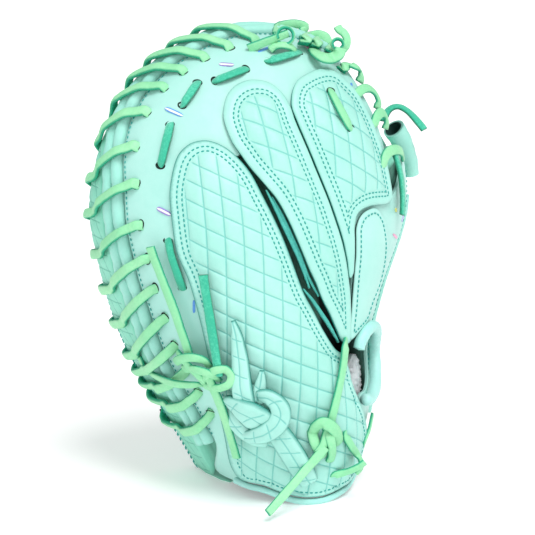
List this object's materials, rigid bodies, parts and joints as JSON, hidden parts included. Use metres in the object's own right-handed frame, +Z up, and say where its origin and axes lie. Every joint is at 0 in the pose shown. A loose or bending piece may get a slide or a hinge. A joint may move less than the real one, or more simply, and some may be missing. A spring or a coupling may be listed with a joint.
{
  "type": "catcher's mitt",
  "caption": "Padded leather catcher's mitt for the left hand, with a deep pocket, laced and welted rim, raised finger panels and a wrist strap.",
  "frame": {"origin": "middle of the footprint, on the surface the mitt stands on", "axes": "+Z up from the heel to the fingertips, -Y the back of the hand, +Y the pocket, +X the thumb, -X the little finger"},
  "size_m": [0.2321, 0.1331, 0.3047],
  "materials": {
    "smooth_leather": "smooth mint leather, soft sheen",
    "palm_leather": "mint leather over thick padding",
    "embossed_leather": "mint leather embossed with a diamond lattice",
    "lace": "light green rawhide lace, grain side",
    "lace_suede": "emerald green rawhide lace, suede side",
    "fleece": "white fleece"
  },
  "bodies": {
    "root": {"back_shell": "smooth_leather", "finger_panel_index": "embossed_leather", "finger_panel_little": "embossed_leather", "finger_panel_middle": "embossed_leather", "lace_bar_1": "lace_suede", "lace_bar_2": "lace_suede", "lace_bar_3": "lace_suede", "lace_bar_4": "lace_suede", "lace_bar_5": "lace_suede", "lace_bar_6": "lace_suede", "lace_knot_left": "lace", "lace_knot_right": "lace", "lace_knot_top_1": "lace", "lace_knot_top_2": "lace", "lace_right_upper": "lace", "lace_tail_left": "lace", "lace_tail_lower": "lace", "lace_tail_right": "lace", "lace_tail_suede": "lace_suede", "opening_ring": "smooth_leather", "palm_pad_fingers": "palm_leather", "palm_pad_heel": "palm_leather", "palm_pad_little": "palm_leather", "palm_pad_thumb": "palm_leather", "palm_pad_web": "palm_leather", "rim_lace_01": "lace", "rim_lace_02": "lace", "rim_lace_03": "lace", "rim_lace_04": "lace", "rim_lace_05": "lace", "rim_lace_06": "lace", "rim_lace_07": "lace", "rim_lace_08": "lace", "rim_lace_09": "lace", "rim_lace_10": "lace", "rim_lace_11": "lace", "rim_lace_12": "lace", "rim_lace_13": "lace", "rim_lace_14": "lace", "rim_lace_15": "lace", "rim_lace_16": "lace", "strap_knot": "embossed_leather", "strap_tail_lower": "embossed_leather", "strap_tail_upper": "embossed_leather", "thumb_patch": "smooth_leather", "thumb_roll": "smooth_leather", "thumb_shell": "smooth_leather", "thumb_welt_inner": "smooth_leather", "thumb_welt_outer": "smooth_leather", "web_lace_1": "lace", "web_lace_2": "lace", "web_lace_3": "lace", "web_panel": "embossed_leather", "welt_inner": "smooth_leather", "welt_outer": "smooth_leather", "wrist_binding": "smooth_leather", "wrist_lining": "fleece"}
  },
  "joints": []
}
